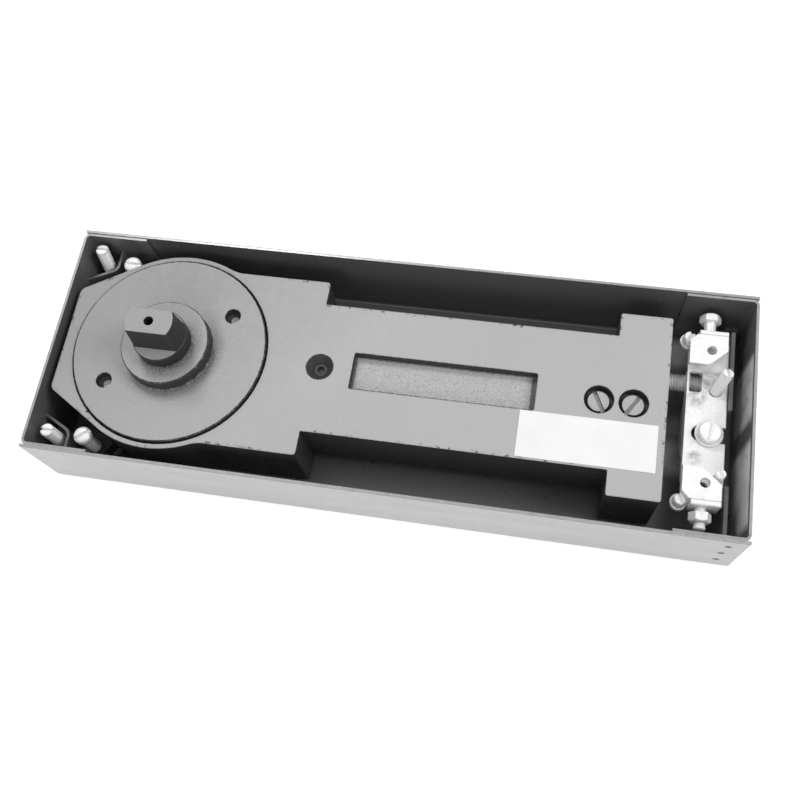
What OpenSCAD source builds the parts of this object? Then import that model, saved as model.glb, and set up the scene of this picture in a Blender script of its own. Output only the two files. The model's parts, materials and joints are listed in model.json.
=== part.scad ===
// Floor spring door closer in its cement box. Millimetres, +Z up.
// Origin: centre of the box's underside. +X runs from the spindle end to the tail.

/* [Cement box] */
// Outside length of the box
box_l = 306; // [296:1:380]
// Outside width of the box
box_w = 108; // [107:0.5:132]
// Outside height of the box
box_h = 43; // [43:0.5:56]
// Thickness of the box sheet
sheet = 1.2; // [1:0.1:1.6]
// Length of the end plates' side tabs
tab_l = 30; // [18:1:34]
// Height of the tabs' top edge below the rim
tab_drop = 0.5; // [0:0.1:3]

/* [Closer block] */
// Gap between the end wall and the closer block
end_gap = 3.3; // [2.5:0.1:6]
// Room left for the tail adjuster, from the block to the outside of the box
bay_l = 34.8; // [34:0.1:45]
// Depth of the block's top face below the rim
top_drop = 3; // [2:0.1:6]
// Height of the casting
cast_h = 36; // [35.6:0.1:38]
// Half width of the shoulders behind the round head
shoulder_hw = 41.2; // [36:0.1:46]
// Distance from the spindle axis to the end of the shoulders
shoulder_l = 66; // [60:0.5:80]
// Half width of the spring tube
neck_hw = 30.2; // [24:0.1:36]
// Half width of the T-shaped tail
tail_hw = 41; // [36:0.1:46]
// Length of the T-shaped tail
tail_l = 22; // [16:0.5:30]
// Extra length of the nose beyond the round head
nose_extra = 2.9; // [1:0.1:5]
// Half width of the nose's flat end
nose_hw = 24.5; // [16:0.5:30]
// Thickness of the casting's floor
cast_floor = 5; // [4:0.1:6]
// Length of the pocket in the top face
pocket_l = 80; // [50:1:100]
// Width of the pocket
pocket_w = 17.2; // [12:0.2:24]
// Depth of the pocket
pocket_d = 4.5; // [3:0.1:4.8]

/* [Drive] */
// Radius of the follower rollers
roller_r = 6.5; // [5.5:0.1:8]
// Follower travel for each radian of spindle turn
lift = 4; // [3:0.1:5]
// Radius of the spindle where the cam sits
cam_seat_r = 8; // [7:0.1:9]
// Least wall between the cam's bore and its roller seat
cam_wall = 2.5; // [2:0.1:4]
// Thickness of the cam and rollers
cam_t = 7.8; // [7:0.1:9.6]
// Thickness of each follower plate
carrier_t = 2.6; // [2:0.1:3]
// Widest opening of the door, in degrees
open_deg = 130; // [90:5:135]
// Radius of the cylinder bore in the spring tube
bore_r = 12; // [10:0.1:12.4]
// Length of the piston
piston_l = 22; // [18:1:28]
// Wire radius of the closing spring
wire_r = 1.7; // [1.2:0.1:2]
// Number of coils of the closing spring
coils = 12; // [8:1:13]

/* [Spindle and cover] */
// Radius of the spindle's exposed shaft
shaft_r = 12; // [11.4:0.1:13]
// Height of the exposed shaft above the boss
shaft_h = 6.6; // [4:0.1:10]
// Height of the tapered tongue
tongue_h = 14; // [10:0.5:20]
// Half thickness of the tongue at its foot
tongue_foot = 6.7; // [5:0.1:8]
// Half thickness of the tongue at its top
tongue_top = 5.5; // [4:0.1:7]
// Radius of the threaded hole in the spindle's end
tap_r = 2.1; // [1.6:0.1:3]
// Width of the cover's flange beyond the cavity
cover_land = 5.75; // [5:0.05:7]
// Height of the cover's face above the casting
cover_proud = 1.5; // [0.5:0.1:3]
// Radius of the boss on the cover
boss_r = 19.8; // [18:0.1:22]
// Height of the boss above the cover's face
boss_h = 6.5; // [4:0.1:9]
// Radius of the circle of the spanner holes
spanner_pcr = 31.6; // [28:0.1:34]
// Radius of each spanner hole
spanner_r = 3.6; // [2.5:0.1:4]

/* [Valves and plugs] */
// Radius of the valve counterbores
valve_well_r = 6.3; // [5.6:0.1:7]
// Radius of the valve heads
valve_head_r = 4.95; // [4:0.05:5.4]
// Distance from the tail face to the latch valve
latch_in = 13.7; // [13:0.1:15]
// Spacing of the two valves
valve_pitch = 14.3; // [14:0.1:16]

/* [Tail adjuster] */
// Half spacing of the two cover screw holes
cover_hole_y = 29.5; // [27:0.5:31]
// Depth of the lugs' top face below the rim
lug_drop = 6; // [5:0.5:8]
// Thickness of the adjuster's sheet
plate_t = 2.4; // [2:0.1:3]
// Sideways adjustment each way
side_travel = 1; // [0.6:0.1:1.4]
// Lean of the far tail screw
tail_lean = 25; // [0:1:28]
// Lean of the far corner screw
corner_lean = 12; // [0:1:14]

/* [Hidden] */
$fn = 64;

// Clearances
fit = 0.05;           // radial, of anything that turns or slides in a bore
gap = 0.3;            // between faces of pieces that move past each other
cut = 0.1;            // how far a cutting shape reaches past the face it cuts

// Box
in_x = box_l / 2 - sheet;
in_y = box_w / 2 - sheet;
side_play = 0.1;                      // between the end plates' tabs and the long walls
tab_y = in_y - side_play - sheet;     // inner face of the side tabs
bend_r = 2 * sheet;                   // outer radius of the sheet bends
rim = box_h;

// Heights of the casting
cast_top = rim - top_drop;
cast_z = cast_top - cast_h;
cavity_z = cast_z + cast_floor;

// Cam and follower, seen from the spindle axis
cam_gap = 0.06;                                    // play between roller and cam
roller_min = cam_seat_r + cam_wall + roller_r;     // roller centre in the cam's seat
roller_max = roller_min + lift * PI;               // roller centre on the cam's tip
cavity_r = roller_max + roller_r + 1.9;
cover_r = cavity_r + cover_land;
recess_r = cover_r + 0.55;
head_r = recess_r + 2.35;
travel = lift * open_deg * PI / 180;

// Places along X
spindle_x = -in_x + end_gap + head_r + nose_extra;
tail_x = box_l / 2 - bay_l;
shoulder_x = spindle_x + shoulder_l;
blend_r = 20;                         // hollow between the round head and the shoulders
latch_x = tail_x - latch_in;
speed_x = latch_x - valve_pitch;

// Heights in the drive
journal_r = 7.5;                                   // lower journal of the spindle
ring_h = 4.6;                                      // height of the lower bearing's boss
lower_plate_z = cavity_z + ring_h + 0.6;
cam_z = lower_plate_z + carrier_t + 0.4;
upper_plate_z = cam_z + cam_t + 0.4;
drive_z = cam_z + cam_t / 2;                       // axis of the cylinder bore
slot_r = 9.3;                                      // half width of the slots round the spindle
neck_spindle_r = 9;                                // spindle between cam and upper bearing
pin_r = 3;
carrier_hw = 15;
pin_l = upper_plate_z + carrier_t - lower_plate_z;
carrier_tail_hw = sqrt(pow(bore_r - 0.6, 2) - pow(pin_l / 2, 2));
yoke_x = roller_min + roller_r + 6.5;              // yoke pin, from the spindle axis
carrier_end = yoke_x + 4.5;
piston_x = spindle_x + yoke_x + 9.5;
spring_x0 = piston_x + piston_l;
plug_l = latch_in + valve_pitch + 4;
plug_x = tail_x - 2 - plug_l;

// Cover and spindle heights
cover_top = cast_top + cover_proud;
recess_z = cast_top - 5.6;
boss_top = cover_top + boss_h;
spigot_z = upper_plate_z + carrier_t + 2;
bearing_r = 14;                                    // outer radius of the upper bearing
upper_r = 10;                                      // spindle in the upper bearing
upper_z = spigot_z + 0.6;
upper_h = 10;
seal_z = upper_z + upper_h + 0.4;
seal_h = boss_top - 2.6 - seal_z;
seal_out = 13.5;
seal_shaft_r = shaft_r - 0.4;
shaft_z = boss_top + gap;
ledge_z = shaft_z + shaft_h;
tip_z = ledge_z + tongue_h;

// Tail adjuster
lug_top = rim - lug_drop;
adjust_top = lug_top - 8;                          // top of the adjusting plate
side_r = 2.5;
side_z = lug_top - plate_t - side_r - 0.15;        // axis of the side bolts
adj_x0 = tail_x + 8.2;                             // left edge of the lugs
plate_x0 = tail_x + 9;
bracket_t = 1.6;
bracket_x = in_x - 7.4;                            // left face of the cross bracket
plate_x1 = bracket_x - gap;
lug_x1 = plate_x1 - 2;
lug_y0 = cover_hole_y - 6.7;
lug_y1 = cover_hole_y + 7.1;
flange_y1 = lug_y1 + plate_t;
side_x = adj_x0 + 8.5;
hole_x = adj_x0 + 9.1;                             // cover screw holes
clamp_x = plate_x0 + 10;
clamp_y = -5.6;
clamp_r = 2.5;
end_y = 20.5;
end_z = cast_z + 15;
end_r = 4;
bolt_r = 3;
level_x = adj_x0 + 0.2;                            // levelling screws of the tail
level_y = lug_y1 - 0.1;
ear_r = clamp_r + 1;
flange_x0 = level_x + ear_r + 0.2;                 // left end of the lugs' flanges

// Left corner
ear_x = spindle_x - 31.6;
ear_y = tab_y - 8.5;
ear_z = cast_z + 8;
ear_t = 7;
corner_x = -in_x + 6.6;
corner_y = tab_y - 7.6;
clip_top = rim - 12;
clip_r = 5;                                        // bend radius of the clip
clip_x = -in_x + 13.8;                             // outer face of the clip's long leg
clip_y = tab_y - 7.7;                              // centre of the bend
web_z = clip_top - 13;

zinc = "gainsboro";
dark = "dimgray";

// ---- Shapes that repeat ----

// Flat rectangle with true round corners, from [x0, y0] to [x1, y1]
module round_rect(x0, y0, x1, y1, r) {
    translate([x0 + r, y0]) square([x1 - x0 - 2 * r, y1 - y0]);
    translate([x0, y0 + r]) square([x1 - x0, y1 - y0 - 2 * r]);
    for (x = [x0 + r, x1 - r], y = [y0 + r, y1 - r]) translate([x, y]) circle(r);
}

// A ring with its axis along Z, standing on z = 0
module ring(r_out, r_in, h) {
    rotate_extrude() translate([r_in, 0]) square([r_out - r_in, h]);
}

// Grub screw with its slotted top at z = 0, reaching down to -l
module slotted_stud(r, l) {
    dome = 0.8;
    difference() {
        rotate_extrude() polygon([[0, 0], [r - dome, 0], [r, -dome], [r, 1 - l], [r - 1, -l], [0, -l]]);
        translate([-r - cut, -0.6, -1.6]) cube([2 * r + 2 * cut, 1.2, 2]);
    }
}

// Slotted screw with a round head: seat of the head at z = 0, shank down to -l
module headed_screw(r, l, head_r, head_h) {
    difference() {
        union() {
            rotate_extrude() polygon([[0, head_h], [head_r - 1, head_h], [head_r, head_h - 0.9],
                [head_r, 0], [r, 0], [r, -l], [0, -l]]);
        }
        translate([-head_r - cut, -0.65, head_h - 1.3]) cube([2 * head_r + 2 * cut, 1.3, 2]);
    }
}

// Hexagon prism standing on z = 0, with its corners chamfered at the top
module hex_head(af, h) {
    corner = af / sqrt(3);
    intersection() {
        cylinder(r = corner, h = h, $fn = 6);
        rotate_extrude() polygon([[0, 0], [corner + cut, 0], [corner + cut, h - 0.9],
            [corner - 1, h], [0, h]]);
    }
}

// ---- Cement box ----

module box_channel() {
    color("silver") translate([-box_l / 2, 0, 0]) rotate([90, 0, 90])
        linear_extrude(box_l) difference() {
            union() {
                translate([-box_w / 2, bend_r]) square([box_w, box_h - bend_r]);
                translate([-box_w / 2 + bend_r, 0]) square([box_w - 2 * bend_r, bend_r]);
                for (s = [-1, 1]) translate([s * (box_w / 2 - bend_r), bend_r]) circle(bend_r);
            }
            translate([-in_y, bend_r]) square([2 * in_y, box_h]);
            translate([-in_y + sheet, sheet]) square([2 * in_y - 2 * sheet, bend_r]);
            for (s = [-1, 1]) translate([s * (in_y - sheet), bend_r]) circle(sheet);
        }
}

// End plate with its two side tabs, drawn for the +X end
module end_plate() {
    y1 = in_y - side_play;
    translate([0, 0, bend_r]) linear_extrude(rim - tab_drop - bend_r) difference() {
        round_rect(box_l / 2 - 2 * tab_l, -y1, box_l / 2, y1, bend_r);
        round_rect(box_l / 2 - 2 * tab_l - cut, -y1 + sheet, in_x, y1 - sheet, sheet);
        translate([box_l / 2 - 2 * tab_l - 2 * cut, -in_y]) square([tab_l + 2 * cut, 2 * in_y]);
    }
    translate([in_x, -y1 + bend_r, sheet]) cube([sheet, 2 * (y1 - bend_r), bend_r]);
    translate([in_x, -y1 + bend_r, rim - tab_drop - cut]) cube([sheet, 2 * (y1 - bend_r), tab_drop + cut]);
}

module box_end_right() { color("silver") end_plate(); }

module box_end_left() { color("silver") mirror([1, 0, 0]) end_plate(); }

// Space behind the bent strap of the far left corner, seen from above; t is the depth into the strap
module clip_outline(t) {
    lean = 26;
    r = clip_r - t;
    leg_x = clip_x - clip_r + r * sin(lean);
    leg_y = clip_y - r * cos(lean);
    foot_x = -in_x - 5;
    translate([clip_x - clip_r, clip_y]) circle(r);
    polygon([[clip_x - t, tab_y + 1], [clip_x - t, clip_y], [clip_x - clip_r, clip_y], [leg_x, leg_y],
        [foot_x, leg_y - (leg_x - foot_x) * tan(lean)], [foot_x, tab_y + 1]]);
}

// The strap, with a web inside it that carries the corner screw
module corner_clip(lean) {
    wall_gap = 1.5;
    difference() {
        union() {
            translate([0, 0, bend_r]) linear_extrude(clip_top - bend_r) intersection() {
                difference() {
                    clip_outline(0);
                    clip_outline(sheet);
                }
                translate([-in_x, 0]) square([box_l, tab_y]);
            }
            translate([0, 0, web_z]) linear_extrude(plate_t) intersection() {
                clip_outline(sheet / 2);
                translate([-in_x + wall_gap, 0]) square([box_l, tab_y]);
            }
        }
        corner_place(lean) translate([0, 0, web_z - rim - 1]) cylinder(r = bolt_r + fit, h = 9);
    }
}

// Axis of a corner screw, its slotted end at z = 0
module corner_place(lean) {
    translate([corner_x, corner_y + 15 * sin(lean), rim - 4]) rotate([-lean, 0, 0]) children();
}

module corner_screw(lean) {
    corner_place(lean) slotted_stud(bolt_r, 32 - 0.6 * lean);
}

module corner_clip_far() { color(zinc) corner_clip(corner_lean); }

module corner_clip_near() { color(zinc) mirror([0, 1, 0]) corner_clip(0); }

module corner_screw_far() { color(zinc) corner_screw(corner_lean); }

module corner_screw_near() { color(zinc) mirror([0, 1, 0]) corner_screw(0); }

// Vertical sheet across the box, with two upright parts and welded feet
module cross_bracket() {
    ear_top = adjust_top + 2;
    low_top = 16;
    far_y = end_y - 15;                   // ends of the far upright part
    far_end = lug_y1 + 5.3;
    near_y = -cover_hole_y + 1.5;
    foot = 5.4;
    color("darkgray") difference() {
        union() {
            translate([bracket_x, far_y, sheet]) cube([bracket_t, far_end - far_y, ear_top - sheet]);
            translate([bracket_x, -tab_y, sheet]) cube([bracket_t, tab_y + near_y, ear_top - sheet]);
            translate([bracket_x, -tab_y, sheet]) cube([bracket_t, 2 * tab_y, low_top - sheet]);
            for (s = [-1, 1]) translate([bracket_x, s * (tab_y - bracket_t / 2), (low_top + bend_r) / 2])
                cube([2 * foot, bracket_t, low_top - bend_r], center = true);
        }
        translate([bracket_x - 4 * foot, -box_w, 0]) cube([4 * foot, 2 * box_w, box_h]);
        for (s = [-1, 1]) translate([bracket_x - cut, s * in_y - 2 * sheet, sheet - cut])
            cube([2 * foot, 4 * sheet, 1.3]);
    }
}

module clamp_pillar() {
    color("silver") translate([clamp_x, clamp_y, sheet])
        ring(5, clamp_r + fit, adjust_top - plate_t - 0.2 - sheet);
}

module clamp_washer() {
    color(zinc) translate([clamp_x, clamp_y, adjust_top + 0.1]) ring(5.9, clamp_r + fit, 1.1);
}

module clamp_screw() {
    color(zinc) translate([clamp_x, clamp_y, adjust_top + 1.3]) rotate(80)
        headed_screw(clamp_r, adjust_top - 5, 4.9, 3.4);
}

// ---- Closer block ----

// Flat outline of the round head with its tangent nose
module head_outline() {
    nose_r = 4;
    nose_x = head_r + nose_extra - nose_r;
    nose_y = nose_hw - nose_r * 0.5;
    reach = norm([nose_x, nose_y]);
    normal = 180 - atan2(nose_y, nose_x) - acos((head_r - nose_r) / reach);
    inset = 0.06;                         // the flats cut the round corners a little
    away = [cos(normal), sin(normal)];
    far = (head_r - inset) * away;
    tip = [-nose_x, nose_y] + (nose_r - inset) * away;
    front = -nose_x - nose_r + inset;
    circle(head_r);
    for (s = [-1, 1]) translate([-nose_x, s * nose_y]) circle(nose_r);
    polygon([far, tip, [front, nose_y - 0.5], [front, 0.5 - nose_y], [tip[0], -tip[1]], [far[0], -far[1]]]);
}

// Hollow curve from the round head into the straight shoulder, seen from the spindle axis
module shoulder_blend() {
    y = shoulder_hw + blend_r;
    x = sqrt(pow(head_r + blend_r, 2) - pow(y, 2));
    start = head_r / (head_r + blend_r) * [x, y];
    inset = 0.05;                         // the curve crosses both faces instead of only touching them
    difference() {
        polygon([start - [1, 2], start, [x, shoulder_hw], [x, shoulder_hw - 2]]);
        translate([x, y - inset]) circle(blend_r, $fn = 180);
    }
}

module neck_section() {
    r = 9;
    h = cast_h;
    difference() {
        round_rect(-neck_hw, 0, neck_hw, h, r);
        translate([-neck_hw - 1, h - r - 1]) square([2 * neck_hw + 2, r + 2]);
    }
    translate([-neck_hw, r]) square([2 * neck_hw, h - r]);
}

module closer_body() {
    color(dark) difference() {
        union() {
            difference() {
                union() {
                    translate([spindle_x, 0, cast_z]) linear_extrude(cast_h) head_outline();
                    translate([0, 0, cast_z]) linear_extrude(cast_h)
                        round_rect(spindle_x, -shoulder_hw, shoulder_x, shoulder_hw, 1.5);
                    for (s = [0, 1]) translate([spindle_x, 0, cast_z]) mirror([0, s]) linear_extrude(cast_h)
                        shoulder_blend();
                    translate([shoulder_x - 2, 0, cast_z]) rotate([90, 0, 90])
                        linear_extrude(tail_x - shoulder_x) neck_section();
                    translate([0, 0, cast_z]) linear_extrude(cast_h)
                        round_rect(tail_x - tail_l, -tail_hw, tail_x, tail_hw, 1);
                    casting_ears();
                }
                translate([spindle_x, 0, cavity_z]) cylinder(r = cavity_r, h = cast_h);
            }
            translate([spindle_x, 0, cavity_z - cut]) cylinder(r = 13.5, h = ring_h + cut);
        }
        translate([spindle_x, 0, 0]) rotate_extrude() polygon([[0, recess_z], [recess_r, recess_z],
            [recess_r, cast_top - 0.4], [recess_r + 0.5, cast_top + 0.1], [0, cast_top + 0.1]]);
        translate([spindle_x, 0, cast_z + 2.5]) cylinder(r = 10.5, h = cast_h);
        translate([spindle_x, 0, drive_z]) rotate([0, 90, 0]) cylinder(r = bore_r, h = box_l);
        pocket();
        filler_hole();
        valve_holes();
        translate([tail_x - 8, end_y, end_z]) rotate([0, 90, 0]) cylinder(r = end_r + fit, h = 20);
        for (s = [-1, 1]) translate([ear_x, s * ear_y, 0]) cylinder(r = bolt_r + fit, h = rim);
    }
}

// Ears at the nose that carry the levelling screws
module casting_ears() {
    arm_l = norm([spindle_x - ear_x, ear_y]) - head_r + 4;
    for (s = [-1, 1]) translate([ear_x, s * ear_y, ear_z]) linear_extrude(ear_t) {
        circle(5.5);
        rotate(-s * atan2(ear_y, spindle_x - ear_x)) translate([-1, -5.2]) square([arm_l + 1, 10.4]);
    }
}

module pocket() {
    x0 = shoulder_x + 17;
    translate([0, 0, cast_top - pocket_d]) linear_extrude(pocket_d + 1)
        round_rect(x0, -pocket_w / 2, x0 + pocket_l, pocket_w / 2, 1);
}

filler_x = shoulder_x + 2.8;
filler_bowl = 3.8;

module filler_hole() {
    translate([filler_x, 0, cast_top - filler_bowl]) {
        rotate_extrude() polygon([[0, 0], [bolt_r, 0], [6.2, filler_bowl], [6.2, filler_bowl + 1],
            [0, filler_bowl + 1]]);
        translate([0, 0, -2.2]) cylinder(r = bolt_r + fit, h = 2.3);
        translate([0, 0, -8]) cylinder(r = 1.6, h = 7);
    }
}

well_z = cast_top - 4.9;
stem_r = 3.5;
needle_r = 2.5;

module valve_holes() {
    for (x = [speed_x, latch_x]) translate([x, 0, 0]) {
        translate([0, 0, well_z]) cylinder(r = valve_well_r, h = 10);
        translate([0, 0, drive_z]) cylinder(r = stem_r + fit, h = well_z - drive_z + cut);
    }
}

// Needle valve: slotted head above, stem and needle below
module valve(x, turn) {
    head_z = well_z + 0.8;
    foot = drive_z + bore_r - head_z;
    translate([x, 0, head_z]) rotate(turn) difference() {
        rotate_extrude() polygon([[0, 1.9], [valve_head_r - 0.5, 1.9], [valve_head_r, 1.4],
            [valve_head_r, 0], [stem_r, 0], [stem_r, foot], [needle_r, foot],
            [needle_r, drive_z + 3 - head_z], [0.4, drive_z - 1 - head_z], [0, drive_z - 1 - head_z]]);
        translate([-valve_head_r - cut, -0.9, 0.6]) cube([2 * valve_head_r + 2 * cut, 1.8, 2]);
    }
}

module speed_valve() { color("darkgray") valve(speed_x, 116); }

module latch_valve() { color("darkgray") valve(latch_x, 58); }

module valve_seals() {
    color("black") for (x = [speed_x, latch_x])
        translate([x, 0, well_z]) ring(valve_head_r - 0.3, stem_r + fit, 0.75);
}

// Plug under the filler bowl, with a hexagon socket
module filler_plug() {
    color("dimgray") translate([filler_x, 0, cast_top - filler_bowl - 2.1]) difference() {
        cylinder(r = bolt_r, h = 2.1);
        translate([0, 0, 0.7]) cylinder(r = 1.73, h = 3, $fn = 6);
    }
}

// Bare sticker on the tube
module data_label() {
    label_l = 57;
    label_w = 20.5;
    x1 = tail_x - 3;
    color("white") translate([x1 - label_l, -neck_hw + 0.9, cast_top]) cube([label_l, label_w, 0.25]);
}

module level_screw_far() {
    color(zinc) translate([ear_x, ear_y, ear_z + ear_t + 12]) level_screw();
}

module level_screw_near() {
    color(zinc) translate([ear_x, -ear_y, ear_z + ear_t + 12]) rotate(40) level_screw();
}

// Levelling screw of the casting: its head's seat at z = 0, standing on the box floor
module level_screw() {
    headed_screw(bolt_r, ear_z + ear_t + 12 - sheet - 0.2, 4, 4.2);
}

module bearing_cover() {
    color(dark) translate([spindle_x, 0, 0]) difference() {
        rotate_extrude() polygon([[0, spigot_z], [cavity_r - fit, spigot_z], [cavity_r - fit, recess_z + 0.1],
            [cover_r, recess_z + 0.1], [cover_r, cover_top - 0.4], [cover_r - 0.4, cover_top],
            [boss_r + 0.3, cover_top], [boss_r, cover_top + 0.5], [boss_r - 0.1, boss_top - 0.5],
            [boss_r - 0.6, boss_top], [0, boss_top]]);
        translate([0, 0, spigot_z - 1]) cylinder(r = bearing_r + 0.02, h = upper_z + upper_h - spigot_z + 1);
        translate([0, 0, upper_z]) cylinder(r = seal_shaft_r + gap, h = 40);
        translate([0, 0, seal_z - 0.4]) cylinder(r = seal_out + 0.02, h = seal_h + 0.5);
        translate([0, 0, recess_z - 3]) ring(cavity_r + 1, cavity_r - 2, 2.2);
        for (a = [36.3, 216.3]) rotate(a) translate([spanner_pcr, 0, cover_top - 4]) {
            cylinder(r = spanner_r, h = 6);
            translate([0, 0, -1.4]) cylinder(r1 = 0.8, r2 = spanner_r, h = 1.41);
        }
    }
}

module cover_seal() {
    color("black") translate([spindle_x, 0, recess_z - 1.9]) rotate_extrude()
        translate([cavity_r - 1, 0]) circle(0.95, $fn = 32);
}

// Tapered tongue: a cone with two sloping flats
module tongue() {
    intersection() {
        cylinder(r1 = shaft_r - 0.4, r2 = shaft_r - 1.6, h = tongue_h);
        translate([-shaft_r - 1, 0, 0]) rotate([90, 0, 90]) linear_extrude(2 * shaft_r + 2)
            polygon([[-tongue_foot, -cut], [tongue_foot, -cut], [tongue_top, tongue_h + cut],
                [-tongue_top, tongue_h + cut]]);
    }
}

module spindle() {
    color(dark) translate([spindle_x, 0, 0]) difference() {
        union() {
            rotate_extrude() polygon([[0, cast_z + 2.8], [journal_r - 0.6, cast_z + 2.8],
                [journal_r, cast_z + 3.4], [journal_r, cam_z - 0.2], [cam_seat_r, cam_z - 0.2],
                [cam_seat_r, cam_z + cam_t + 0.1], [neck_spindle_r, cam_z + cam_t + 0.1],
                [neck_spindle_r, upper_z - 0.3], [upper_r, upper_z - 0.3], [upper_r, seal_z - 0.2],
                [seal_shaft_r, seal_z - 0.2], [seal_shaft_r, shaft_z], [shaft_r, shaft_z],
                [shaft_r, ledge_z - 0.4], [shaft_r - 0.4, ledge_z], [0, ledge_z]]);
            translate([0, 0, ledge_z - 0.01]) tongue();
        }
        translate([0, 0, tip_z - 12]) cylinder(r = tap_r, h = 20);
        key_way(0);
    }
}

// Key between spindle and cam, on the side of the cam's tip
module key_way(play) {
    translate([-cam_seat_r - 2 - play, -2 - play, cam_z + 0.2 - play])
        cube([4 + 2 * play, 4 + 2 * play, cam_t - 0.4 + 2 * play]);
}

module cam_key() {
    color("silver") translate([spindle_x, 0, 0]) key_way(-0.02);
}

// Radius of the roller centre's path after a turn of a degrees: it grows evenly
function path_r(a) = roller_min + lift * a * PI / 180;

// Point of the cam's flank that the roller touches after a turn of a degrees
function flank(a) =
    let (r = path_r(a), s = norm([r, lift]), e = roller_r + cam_gap, out = r - e * r / s, side = e * lift / s)
    [out * cos(a) - side * sin(a), out * sin(a) + side * cos(a)];

// Where the two flanks meet at the tip
cam_end = let (r = path_r(180), s = norm([r, lift]), e = roller_r + cam_gap)
    180 - atan2(e * lift / s, r - e * r / s);
flank_steps = 36;
seat_steps = 6;
seat_half = atan2(lift, roller_min);

// Heart-shaped outline: an even rise each way from a round seat for the roller
module heart() {
    rise = [for (i = [0 : flank_steps]) flank(cam_end * i / flank_steps)];
    seat = [for (i = [1 : seat_steps - 1]) let (a = 180 + seat_half - 2 * seat_half * i / seat_steps)
        [roller_min + (roller_r + cam_gap) * cos(a), (roller_r + cam_gap) * sin(a)]];
    fall = [for (i = [flank_steps - 1 : -1 : 0]) let (p = rise[i]) [p[0], -p[1]]];
    polygon(concat(rise, fall, seat));
}

module heart_cam() {
    color("silver") translate([spindle_x, 0, 0]) difference() {
        translate([0, 0, cam_z]) linear_extrude(cam_t) heart();
        translate([0, 0, cam_z - 1]) cylinder(r = cam_seat_r + 0.02, h = cam_t + 2);
        key_way(0);
    }
}

module lower_bearing() {
    color("silver") translate([spindle_x, 0, cast_z + 2.6])
        ring(10.5 - 0.02, journal_r + fit, cavity_z + ring_h - cast_z - 2.8);
}

module upper_bearing() {
    color("silver") translate([spindle_x, 0, upper_z]) ring(bearing_r, upper_r + fit, upper_h);
}

module spindle_seal() {
    color("black") translate([spindle_x, 0, seal_z]) ring(seal_out, seal_shaft_r + fit, seal_h);
}

// Follower plate, seen from the spindle axis
module carrier_outline() {
    back = roller_max + 4.9;
    difference() {
        union() {
            translate([-back + carrier_tail_hw, 0]) circle(carrier_tail_hw);
            translate([-back + carrier_tail_hw, -carrier_tail_hw])
                square([back + carrier_end - 2 * carrier_tail_hw, 2 * carrier_tail_hw]);
            round_rect(-roller_max + 4, -carrier_hw, roller_min + 6, carrier_hw, 5);
            translate([carrier_end - carrier_tail_hw, 0]) circle(carrier_tail_hw);
        }
        translate([-travel, 0]) circle(slot_r);
        circle(slot_r);
        translate([-travel, -slot_r]) square([travel, 2 * slot_r]);
        for (x = [-roller_max, roller_min, yoke_x]) translate([x, 0]) circle(pin_r);
    }
}

module follower_plate_lower() {
    color("silver") translate([spindle_x, 0, lower_plate_z]) linear_extrude(carrier_t) carrier_outline();
}

module follower_plate_upper() {
    color("silver") translate([spindle_x, 0, upper_plate_z]) linear_extrude(carrier_t) carrier_outline();
}

module roller_pins() {
    color("silver") for (x = [-roller_max, roller_min])
        translate([spindle_x + x, 0, lower_plate_z]) cylinder(r = pin_r, h = pin_l);
}

module yoke_pin() {
    color("silver") translate([spindle_x + yoke_x, 0, lower_plate_z]) cylinder(r = pin_r, h = pin_l);
}

module roller(x) {
    color("silver") translate([spindle_x + x, 0, cam_z]) ring(roller_r, pin_r + fit, cam_t);
}

module front_roller() { roller(roller_min); }

module back_roller() { roller(-roller_max); }

// Piston with a yoke tongue that the follower plates hold
module piston() {
    tongue_hw = 7.5;
    tongue_t = cam_t - 0.4;
    face = roller_min + roller_r + 2;
    color("silver") difference() {
        union() {
            translate([piston_x, 0, drive_z]) rotate([0, 90, 0]) difference() {
                cylinder(r = bore_r - fit, h = piston_l);
                translate([0, 0, piston_l - 14]) cylinder(r = 6, h = 20);
                translate([0, 0, 3]) difference() {
                    cylinder(r = bore_r + 1, h = 2.4);
                    cylinder(r = bore_r - 2, h = 2.4);
                }
            }
            translate([spindle_x + face, -tongue_hw, drive_z - tongue_t / 2])
                cube([piston_x - spindle_x - face + 0.5, 2 * tongue_hw, tongue_t]);
        }
        translate([spindle_x + yoke_x, 0, 0]) cylinder(r = pin_r, h = rim);
    }
}

module piston_seal() {
    color("black") translate([piston_x + 3.1, 0, drive_z]) rotate([0, 90, 0])
        ring(bore_r - fit, bore_r - 1.95, 2.2);
}

// Closing spring between the piston and the end plug
module spring() {
    coil_r = bore_r - 1.2 - wire_r;
    x0 = spring_x0 + wire_r + 0.1;
    x1 = plug_x - wire_r - 0.1;
    per_turn = 16;
    sides = 8;
    steps = coils * per_turn;
    ring_points = function (i)
        let (a = 360 * i / per_turn, x = x0 + (x1 - x0) * i / steps)
        [for (k = [0 : sides - 1]) let (b = 360 * k / sides, r = coil_r + wire_r * cos(b))
            [x + wire_r * sin(b), r * cos(a), drive_z + r * sin(a)]];
    points = [for (i = [0 : steps]) each ring_points(i)];
    last = steps * sides;
    walls = [for (i = [0 : steps - 1], k = [0 : sides - 1]) let (a = i * sides, n = (k + 1) % sides)
        [a + k, a + n, a + sides + n, a + sides + k]];
    ends = [[for (k = [sides - 1 : -1 : 0]) k], [for (k = [0 : sides - 1]) last + k]];
    color("slategray") polyhedron(points, concat(walls, ends));
}

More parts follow.
